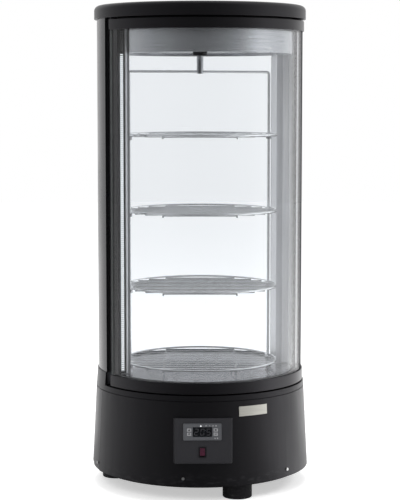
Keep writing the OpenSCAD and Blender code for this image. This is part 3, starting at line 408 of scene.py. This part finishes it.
def piece(name, mesh, body, slot, material=None, smooth=35.0):
    """A shown object from a bmesh, riding on a body."""
    data = bpy.data.meshes.new(name)
    mesh.normal_update()
    mesh.to_mesh(data)
    mesh.free()
    thing = bpy.data.objects.new(name, data)
    scene.collection.objects.link(thing)
    data.materials.append(material or MATERIALS[slot])
    data.set_sharp_from_angle(angle=math.radians(smooth))
    for face in data.polygons:
        face.use_smooth = True
    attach(thing, body)
    return thing


# Points nearer than WELD are joined. Faces that meet within FLAT_A are one face, and edges
# sharper than SHARP_A are rounded
WELD = 0.000002
FLAT_A = 0.4
SHARP_A = 32


def softened(node, body, slot, width):
    """A copy of a CAD node with its sharp edges rounded, shown in the node's place."""
    mesh = bmesh.new()
    mesh.from_mesh(nodes[node].data)
    bmesh.ops.remove_doubles(mesh, verts=mesh.verts, dist=WELD)
    bmesh.ops.dissolve_limit(mesh, angle_limit=math.radians(FLAT_A), verts=mesh.verts,
                             edges=mesh.edges)
    sharp = [edge for edge in mesh.edges
             if edge.is_manifold and edge.calc_face_angle() > math.radians(SHARP_A)]
    bmesh.ops.bevel(mesh, geom=sharp, offset=width, segments=2, profile=0.5,
                    affect="EDGES", clamp_overlap=True)
    thing = piece(node + "_soft", mesh, body, slot, smooth=50.0)
    thing.modifiers.new("normals", "WEIGHTED_NORMAL").keep_sharp = True
    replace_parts(thing, node)


def add_bar(mesh, lo, hi, frame_matrix=None, bevel=0.0, segments=2):
    """A box with rounded edges, from corner lo to corner hi."""
    lo, hi = Vector(lo), Vector(hi)
    middle, size = (lo + hi) / 2, hi - lo
    made = bmesh.ops.create_cube(mesh, size=1.0, matrix=(
        (frame_matrix or Matrix()) @ Matrix.Translation(middle)
        @ Matrix.Diagonal((*size, 1))))
    if bevel:
        edges = {e for v in made["verts"] for e in v.link_edges}
        bmesh.ops.bevel(mesh, geom=list(edges), offset=bevel, segments=segments,
                        profile=0.5, affect="EDGES", clamp_overlap=True)


def rounded_rectangle(width, height, radius, steps=6):
    """Outline of (x, z) points round a rectangle about the origin."""
    points = []
    for cx, cz, start in ((1, 1, 0), (-1, 1, 90), (-1, -1, 180), (1, -1, 270)):
        for k in range(steps + 1):
            t = math.radians(start + 90 * k / steps)
            points.append((cx * (width / 2 - radius) + radius * math.cos(t),
                           cz * (height / 2 - radius) + radius * math.sin(t)))
    return points


def add_loops(mesh, loops, joined=False):
    """Skin through loops of as many points each, with end caps unless the last joins the first."""
    rows = [[mesh.verts.new(p) for p in loop] for loop in loops]
    count = len(rows[0])
    pairs = list(zip(rows, rows[1:])) + ([(rows[-1], rows[0])] if joined else [])
    made = []
    for a, b in pairs:
        for i in range(count):
            j = (i + 1) % count
            made.append(mesh.faces.new((a[i], a[j], b[j], b[i])))
    if not joined:
        made.append(mesh.faces.new(list(reversed(rows[0]))))
        made.append(mesh.faces.new(rows[-1]))
    bmesh.ops.recalc_face_normals(mesh, faces=made)


def add_swept(mesh, section, a1, a2, steps):
    """A section of (radius, z) points swept round the axis from angle a1 to a2."""
    loops = []
    for k in range(steps + 1):
        a = a1 + (a2 - a1) * k / steps
        loops.append([polar(a, r, z) for r, z in section])
    add_loops(mesh, loops)


def add_prism(mesh, outline, z1, z2):
    """An upright prism over an outline of (x, y) points."""
    add_loops(mesh, [[(x, y, z) for x, y in outline] for z in (z1, z2)])


def add_tile(mesh, outline, back, front, matrix, middle=(0.0, 0.0)):
    """A flat tile over an outline of (x, z) points, from depth back to depth front."""
    add_loops(mesh, [[matrix @ Vector((x + middle[0], y, z + middle[1])) for x, z in outline]
                     for y in (back, front)])


def add_frame(mesh, width, height, radius, wall, back, front, matrix, middle=(0.0, 0.0)):
    """A rounded rectangular rim of the given wall, from depth back to depth front."""
    outer = rounded_rectangle(width, height, radius)
    inner = rounded_rectangle(width - 2 * wall, height - 2 * wall, max(radius - wall, 0.0002))
    loops = []
    for outline, y in ((outer, back), (outer, front), (inner, front), (inner, back)):
        loops.append([matrix @ Vector((x + middle[0], y, z + middle[1])) for x, z in outline])
    add_loops(mesh, loops, joined=True)


# CAD nodes whose edges are rounded for the picture

for name, slot, width in (
        ("control_plate", "plate_grey", 0.0006), ("controller_case", "bezel_plastic", 0.0005),
        ("switch_case", "black_plastic", 0.0004), ("badge_plate", "badge_metal", 0.0005),
        ("collar", "collar_plastic", 0.0005), ("top_cap", "cap_plastic", 0.0006),
        ("front_skirt", "black_coat", 0.0004), ("rear_skirt", "black_coat", 0.0004),
        ("foot_front", "foot_rubber", 0.0008), ("foot_rear_left", "foot_rubber", 0.0008),
        ("foot_rear_right", "foot_rubber", 0.0008)):
    softened(name, "cabinet", slot, width)
# A rounding of 0.7 mm or more folds the long curved faces of these two
for name in ("door_top_rail", "door_bottom_rail"):
    softened(name, "door", "rail_black", 0.0006)

# Light strip and the bright bead beside it

STRIP_X = (low("led_strip", X) + high("led_strip", X)) / 2
CHIP_Y = low("led_channel", Y) - 0.0002
CHIP_PITCH = 0.0041
CHIP_HALF_W = 0.0029
CHIP_HALF_H = 0.0011
CHIP_FRONT = CHIP_Y - 0.0003
CHIP_BACK = CHIP_Y + 0.0006
BEAD_FROM = -0.1758
BEAD_TO = -0.1710
BEAD_RISE = 0.0016
BEAD_STEPS = 10


def add_chips(name, z1, z2, material):
    """A ladder of light chips from height z1 to z2."""
    chips = bmesh.new()
    for k in range(int((z2 - z1) / CHIP_PITCH)):
        z = z1 + k * CHIP_PITCH
        add_bar(chips, (STRIP_X - CHIP_HALF_W, CHIP_FRONT, z - CHIP_HALF_H),
                (STRIP_X + CHIP_HALF_W, CHIP_BACK, z + CHIP_HALF_H), bevel=0.0002, segments=1)
    piece(name, chips, "cabinet", "light_diffuser", material)


add_chips("light_chips", FLOOR_Z + 0.010, HEAD_Z + 0.004, LIT_CHIP)
# Painted shade: the chips above the head band are dark and unlit, for the shade that falls on the
# strip there
add_chips("shaded_chips", HEAD_Z + 0.006, UP_TO - 0.002, SHADED_CHIP)

bead = bmesh.new()
bead_half = (BEAD_TO - BEAD_FROM) / 2
arch_angles = [math.pi * k / BEAD_STEPS for k in range(BEAD_STEPS + 1)]
arch = [(BEAD_FROM + bead_half * (1 - math.cos(a)), -COL_FACE - BEAD_RISE * math.sin(a))
        for a in arch_angles]
add_prism(bead, arch, FLOOR_Z + 0.002, UP_TO)
piece("column_bead", bead, "cabinet", "trim_grey", BEAD_BRIGHT)

# Head: the band stops short of the columns, so the strip and the trims run on up to the cap

RIBS = 4
RIB_W = 0.0016
TRIM_BASE = 0.0015
JOINT = 0.0002
FOOT_OF_STRIP = HEAD_Z - 0.0062

channel = bmesh.new()
for x1, x2 in ((low("led_channel", X), low("led_strip", X) - JOINT),
               (high("led_strip", X) + JOINT, high("led_channel", X))):
    add_bar(channel, (x1, low("led_channel", Y), UP_FROM), (x2, -COL_FACE, UP_TO),
            bevel=0.0003, segments=1)
piece("channel_head", channel, "cabinet", "black_plastic")

# Painted shade: the strip above the head band is darker and unlit
strip = bmesh.new()
add_bar(strip, (low("led_strip", X), CHIP_Y, FOOT_OF_STRIP),
        (high("led_strip", X), -COL_FACE - JOINT, UP_TO), bevel=0.0003, segments=1)
piece("strip_head", strip, "cabinet", "light_diffuser", SHADED_STRIP)

trims = bmesh.new()
trim_x = low("hinge_side_trim", X)
trim_w = high("hinge_side_trim", X) - trim_x
add_bar(trims, (trim_x, -COL_FACE - TRIM_BASE, UP_FROM), (trim_x + trim_w, -COL_FACE, UP_TO),
        bevel=0.0002, segments=1)
for k in range(RIBS):
    x = trim_x + k * (trim_w - RIB_W) / (RIBS - 1)
    add_bar(trims, (x, low("hinge_side_trim", Y), UP_FROM),
            (x + RIB_W, -COL_FACE - TRIM_BASE + 0.0001, UP_TO), bevel=0.0003, segments=1)
piece("trim_head", trims, "cabinet", "trim_grey")


def cut_back(node, slot, material=None):
    """A copy of a head node without the corner in front of each column."""
    mesh = bmesh.new()
    mesh.from_mesh(nodes[node].data)
    for side in (-1, 1):
        end, corner = polar(side * CUT_A, RING_R), Vector((side * COL_X, -COL_FACE, 0))
        chord = end - corner
        outward = Vector((-chord.y, chord.x, 0)) * side
        turn = math.radians(side * CUT_A)
        across = Vector((math.cos(turn), math.sin(turn), 0))
        for point, normal in ((corner, Vector((0, 1, 0))), (corner, outward), (end, across)):
            bmesh.ops.bisect_plane(mesh, geom=mesh.verts[:] + mesh.edges[:] + mesh.faces[:],
                                   plane_co=point, plane_no=normal, dist=0.000001)
        gone = []
        for face in mesh.faces:
            c = face.calc_center_median()
            turned = side * math.degrees(math.atan2(c.x, -c.y))
            flat = Vector((c.x, c.y, 0)) - corner
            if c.y < -COL_FACE - 0.00001 and CUT_A < turned < 90 and flat.dot(outward) > 0:
                gone.append(face)
        bmesh.ops.delete(mesh, geom=gone, context="FACES")
    thing = piece(node + "_cut", mesh, "cabinet", slot, material)
    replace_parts(thing, node)


cut_back("head_ring", "stainless", HEAD_STEEL)
cut_back("ceiling_panel", "ceiling_satin")

# Head: the flat returns that close the band's cut ends against the columns
returns = bmesh.new()
for side in (-1, 1):
    end, corner = polar(side * CUT_A, RING_R).xy, Vector((side * COL_X, -COL_FACE))
    inner = polar(side * CUT_A, RING_R - RING_T).xy
    back = Vector((side * (COL_X - RING_T), -COL_FACE))
    outline = [end, corner, back, inner]
    add_prism(returns, outline if side > 0 else outline[::-1], HEAD_Z, RETURN_TOP)
piece("head_returns", returns, "cabinet", "stainless", HEAD_STEEL)

# Head: the seal between the bright band and the cap

SEAL_A = 80
SEAL_IN = RING_R + 0.00005
SEAL_OUT = RING_R + 0.0036

seal = bmesh.new()
add_swept(seal, [(SEAL_IN, CAP_Z - 0.0060), (RING_R + 0.0030, CAP_Z - 0.0055),
                 (SEAL_OUT, CAP_Z - 0.0030), (SEAL_OUT, CAP_Z - 0.0003),
                 (SEAL_IN, CAP_Z - 0.0003)], -SEAL_A, SEAL_A, steps=64)
piece("head_seal", seal, "cabinet", "gasket_rubber")

# Door: ribbed stile on the hinge side, grooved stile on the free side. The two stiles are alike,
# but painted light and shade give the hinge stile the bright trim finish and the free stile the
# black rail finish


def scalloped(start, end, ribs, depth, steps=6):
    """Points from start to end with round ribs. The valleys are sunk to the left of the way."""
    start, end = Vector(start), Vector(end)
    way = end - start
    inward = Vector((-way.y, way.x)).normalized()
    points = []
    for k in range(ribs * steps):
        t = k / (ribs * steps)
        sink = depth * (1 - math.sin(math.pi * ((t * ribs) % 1.0)))
        points.append(start + way * t + inward * sink)
    return points


def flat_point(a, r):
    """Point at angle a and radius r, as (x, y)."""
    return polar(a, r).xy


STILE_FROM = DOOR_A - STILE_A
STILE_STEPS = 8

ribbed = scalloped(flat_point(STILE_FROM, STILE_IN), flat_point(STILE_FROM, STILE_OUT),
                   ribs=2, depth=-0.0010)
ribbed += [flat_point(STILE_FROM + STILE_A * k / STILE_STEPS, STILE_OUT)
           for k in range(STILE_STEPS + 1)]
ribbed += scalloped(flat_point(DOOR_A, STILE_IN), flat_point(STILE_FROM, STILE_IN),
                    ribs=5, depth=-0.0008)
stile = bmesh.new()
add_prism(stile, ribbed, STILE_LOW, STILE_TOP)
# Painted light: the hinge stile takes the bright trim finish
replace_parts(piece("hinge_stile_ribbed", stile, "door", "trim_grey"), "door_hinge_stile")

GROOVES = (-79.2, -77.9, -76.4)
GROOVE_HALF = 0.18
GROOVE_DEPTH = 0.0012

profile = [flat_point(-DOOR_A, STILE_IN), flat_point(-DOOR_A, STILE_OUT)]
for groove in GROOVES:
    profile += [flat_point(groove - GROOVE_HALF, STILE_OUT),
                flat_point(groove - GROOVE_HALF, STILE_OUT - GROOVE_DEPTH),
                flat_point(groove + GROOVE_HALF, STILE_OUT - GROOVE_DEPTH),
                flat_point(groove + GROOVE_HALF, STILE_OUT)]
profile += [flat_point(-STILE_FROM, STILE_OUT), flat_point(-STILE_FROM, STILE_IN)]
profile += [flat_point(-STILE_FROM - STILE_A * k / STILE_STEPS, STILE_IN)
            for k in range(1, STILE_STEPS)]
stile = bmesh.new()
add_prism(stile, profile, STILE_LOW, STILE_TOP)
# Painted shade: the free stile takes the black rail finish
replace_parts(piece("free_stile_grooved", stile, "door", "rail_black"), "door_free_stile")

# The gasket's upright strip at the hinge is painted light: the black rubber there is given the
# bright trim finish, so it shows as bright as the trim beside it
STRIP_FROM_X = 0.193
STRIP_FROM_Y = -0.036

gasket = nodes["door_gasket"].data
gasket.materials.append(MATERIALS["trim_grey"])
for face in gasket.polygons:
    corners = [gasket.vertices[i].co for i in face.vertices]
    if all(c.x > STRIP_FROM_X and c.y > STRIP_FROM_Y for c in corners):
        face.material_index = 1

# Controller: digits, rims and arrows of the keys, and small plain marks

DIGIT_H = 0.0136
DIGIT_W = 0.0080
DIGIT_PITCH = 0.0122
STROKE = 0.0015
SLANT = 0.12
LENS_FRONT = BEZEL_Y - 0.0003
READING = "205"
SEGMENTS = {"2": "abged", "0": "abcdef", "5": "afgcd"}
KEY_BACK = BUTTON_FRONT + 0.0003
KEY_FRONT = BUTTON_FRONT - 0.0002
MARK_BACK = BEZEL_Y + 0.0002
MARK_FRONT = BEZEL_Y - 0.0002
RIM_FRONT = BEZEL_Y - 0.0004


def segment_bar(key):
    """Middle, width and height of a seven-segment display's segment."""
    side, half, rise = DIGIT_W / 2 - STROKE / 2, DIGIT_H / 4, DIGIT_H / 2 - STROKE / 2
    across, up = DIGIT_W - STROKE * 1.3, DIGIT_H / 2 - STROKE * 1.3
    places = {"a": (0, rise, across, STROKE), "g": (0, 0, across, STROKE),
              "d": (0, -rise, across, STROKE), "b": (side, half, STROKE, up),
              "f": (-side, half, STROKE, up), "c": (side, -half, STROKE, up),
              "e": (-side, -half, STROKE, up)}
    return places[key]


digits = bmesh.new()
for index, digit in enumerate(READING):
    for key in SEGMENTS[digit]:
        x, z, w, h = segment_bar(key)
        middle = ((index - 1) * DIGIT_PITCH + x + SLANT * z, z)
        lean = SLANT * h / 2
        outline = [(-w / 2 - lean, -h / 2), (w / 2 - lean, -h / 2),
                   (w / 2 + lean, h / 2), (-w / 2 + lean, h / 2)]
        add_tile(digits, outline, LENS_FRONT + 0.0001, LENS_FRONT - 0.00015, ON_CONTROLLER,
                 middle)
piece("display_digits", digits, "cabinet", "display_dark", DIM_DIGIT)

trim = bmesh.new()
for width, height, radius in ((LENS_W + 0.0016, LENS_H + 0.0016, 0.0010),
                              (BEZEL_W - 0.0012, BEZEL_H - 0.0012, 0.0022)):
    add_frame(trim, width, height, radius, 0.0010, MARK_BACK, RIM_FRONT, ON_CONTROLLER)
piece("bezel_rims", trim, "cabinet", "bezel_plastic")


def triangle(size, up=1):
    """Outline that points up, or down with up=-1."""
    return [(-size / 2, -up * size / 2), (size / 2, -up * size / 2), (0, up * size / 2)]


def disc(radius, steps=16):
    """Outline of a round mark."""
    angles = [2 * math.pi * k / steps for k in range(steps)]
    return [(radius * math.cos(a), radius * math.sin(a)) for a in angles]


for side, level, node in ((-1, 1, "button_upper_left"), (-1, -1, "button_lower_left"),
                          (1, 1, "button_upper_right"), (1, -1, "button_lower_right")):
    middle = (side * BUTTON_X, level * BUTTON_Z)
    rim = bmesh.new()
    add_frame(rim, BUTTON_W - 0.0006, BUTTON_H - 0.0004, 0.0012, 0.0011,
              KEY_BACK, KEY_FRONT, ON_CONTROLLER, middle)
    piece(node + "_rim", rim, node, "button_grey", MARK_GREY)
    sign = bmesh.new()
    shape = triangle(0.0030, level) if side < 0 else disc(0.0011 + 0.0003 * level)
    add_tile(sign, shape, KEY_BACK, KEY_FRONT, ON_CONTROLLER, middle)
    piece(node + "_sign", sign, node, "button_grey", MARK_DARK)

lit = bmesh.new()
add_tile(lit, triangle(0.0034), MARK_BACK, MARK_FRONT, ON_CONTROLLER, (-0.0032, 0.0124))
piece("lit_mark", lit, "cabinet", "bezel_plastic", MARK_LIT)
marks = bmesh.new()
for x, z, r in ((0.0073, 0.0124, 0.0013), (0.0147, 0.0126, 0.0009), (0.0212, 0.0124, 0.0012),
                (0.0272, 0.0124, 0.0014), (0.0252, -0.0126, 0.0013), (0.0302, -0.0126, 0.0013)):
    add_tile(marks, disc(r), MARK_BACK, MARK_FRONT, ON_CONTROLLER, (x, z))
piece("plain_marks", marks, "cabinet", "bezel_plastic", MARK_GREY)

# Control plate: the folded lower edge that catches the light

LIP_HALF = PLATE_W / 2 - 0.002

lip = bmesh.new()
add_bar(lip, (-LIP_HALF, -PLATE_T - 0.0007, -PLATE_H / 2 + 0.0002),
        (LIP_HALF, -PLATE_T + 0.0002, -PLATE_H / 2 + 0.0016), ON_PANEL, bevel=0.0004)
piece("plate_lip", lip, "cabinet", "plate_grey")

# Studio cards: how bright the surroundings look in reflections, as (angle, brightness)

CARDS = ((-172, 1.0), (-157, 0.8), (-147, 0.6), (-139, 0.52), (-116, 0.5), (-106, 0.46),
         (-97, 0.38), (-88, 0.31), (-80, 0.26), (-72, 0.2), (-64, 0.18), (-57, 0.15), (-50, 0.11),
         (-42, 0.08), (-22, 0.06), (-8, 0.1), (0, 0.13), (8, 0.17), (15, 0.22), (23, 0.27),
         (31, 0.38), (40, 0.58), (50, 0.88), (60, 1.0), (72, 0.95), (85, 0.8), (100, 0.85),
         (115, 1.0))


def add_cards(surroundings, turn):
    """Brightness of the cards at an angle in radians, as a colour ramp's output."""
    share = surroundings.add("ShaderNodeMath", {0: turn, 1: 0.5 / math.pi, 2: 0.5},
                             operation="MULTIPLY_ADD").outputs[0]
    ramp = surroundings.add("ShaderNodeValToRGB", {0: share})
    stops = ramp.color_ramp.elements
    places = [((angle + 180) / 360, strength) for angle, strength in CARDS]
    for stop, (position, strength) in zip((stops[0], stops[1]), (places[0], places[-1])):
        stop.position = position
        stop.color = (strength, strength, strength, 1)
    for position, strength in places[1:-1]:
        stop = stops.new(position)
        stop.color = (strength, strength, strength, 1)
    return ramp.outputs[0]


# Floor, which isn't part of the case

FLOOR_R = 9.0
FLOOR_GLOW = 0.49
FLOOR_MIRRORED = 1.05

floor_mesh = bmesh.new()
bmesh.ops.create_circle(floor_mesh, cap_ends=True, segments=96, radius=FLOOR_R)
floor_data = bpy.data.meshes.new("floor")
floor_mesh.to_mesh(floor_data)
floor_mesh.free()
floor = bpy.data.objects.new("floor", floor_data)
scene.collection.objects.link(floor)


def floor_pale():
    """A pale floor that glows to the eye, and in reflections is as dark as the cards beyond it."""
    s = Surface("floor_pale", Roughness=0.9, Specular_IOR_Level=0.0)
    path = s.add("ShaderNodeLightPath").outputs
    turn = s.math("ARCTAN2", s.axis("X"), s.math("MULTIPLY", s.axis("Y"), -1.0))
    cards = s.math("MULTIPLY", add_cards(s, turn), FLOOR_MIRRORED)
    dimmed = s.math("MULTIPLY", path["Is Glossy Ray"], s.math("SUBTRACT", 1.0, cards))
    share = s.math("SUBTRACT", 1.0, dimmed)
    grain = s.mix(s.noise(3.0), (0.86, 0.86, 0.86), (0.88, 0.88, 0.88))
    s.link(s.mix(share, (0, 0, 0), grain), "Base Color")
    seen = s.math("MAXIMUM", path["Is Camera Ray"], path["Is Glossy Ray"])
    seen = s.math("MAXIMUM", seen, path["Is Transmission Ray"])
    glow = s.add("ShaderNodeEmission", {
        "Color": (1, 1, 1, 1), "Strength": s.math("MULTIPLY", share, FLOOR_GLOW)})
    both = s.add("ShaderNodeAddShader", {0: s.shader.outputs[0], 1: glow.outputs[0]})
    shown = s.add("ShaderNodeMixShader", {
        0: seen, 1: s.shader.outputs[0], 2: both.outputs[0]})
    s.tree.links.new(shown.outputs[0], s.output.inputs["Surface"])
    return s.material


floor_data.materials.append(floor_pale())

# World: white to the eye and through glass; reflections see a studio with dark cards

WORLD_LIGHT = 0.62

world = bpy.data.worlds.new("studio")
scene.world = world
world.use_nodes = True
world.node_tree.nodes.clear()
sky = Nodes(world.node_tree)

path = sky.add("ShaderNodeLightPath").outputs
place = sky.add("ShaderNodeTexCoord").outputs["Generated"]
split = sky.add("ShaderNodeSeparateXYZ", {0: place}).outputs
turn = sky.math("ARCTAN2", split["X"], sky.math("MULTIPLY", split["Y"], -1.0))
cards = add_cards(sky, turn)

direct = sky.math("MAXIMUM", path["Is Camera Ray"], path["Is Transmission Ray"])
glossy = sky.math("MULTIPLY", path["Is Glossy Ray"], sky.math("SUBTRACT", 1.0, direct))
plain = sky.math("SUBTRACT", 1.0, sky.math("MAXIMUM", direct, glossy))
strength = sky.math("ADD", direct, sky.math("MULTIPLY", plain, WORLD_LIGHT))
strength = sky.math("ADD", strength, sky.math("MULTIPLY", glossy, cards))
background = sky.add("ShaderNodeBackground", {"Color": (1, 1, 1, 1), "Strength": strength})
sky.add("ShaderNodeOutputWorld", {"Surface": background.outputs[0]})

# Lamps: soft boxes that light the case without showing in its reflections

LIT_POINT = Vector((0, 0, 0.5))


def softbox(name, at, size, power):
    """A rectangular lamp that faces the case's middle."""
    data = bpy.data.lights.new(name, "AREA")
    data.shape = "RECTANGLE"
    data.size, data.size_y = size
    data.energy = power
    lamp = bpy.data.objects.new(name, data)
    lamp.location = at
    lamp.rotation_euler = (LIT_POINT - Vector(at)).to_track_quat("-Z", "Y").to_euler()
    lamp.visible_glossy = False
    scene.collection.objects.link(lamp)


softbox("key", (-2.4, -2.6, 2.6), (1.6, 1.6), 55.0)
softbox("fill", (2.4, -1.7, 2.8), (1.4, 1.2), 40.0)
softbox("top", (0.2, 0.6, 3.4), (2.2, 2.2), 45.0)

scene.view_settings.view_transform = "Standard"

bpy.context.view_layer.update()
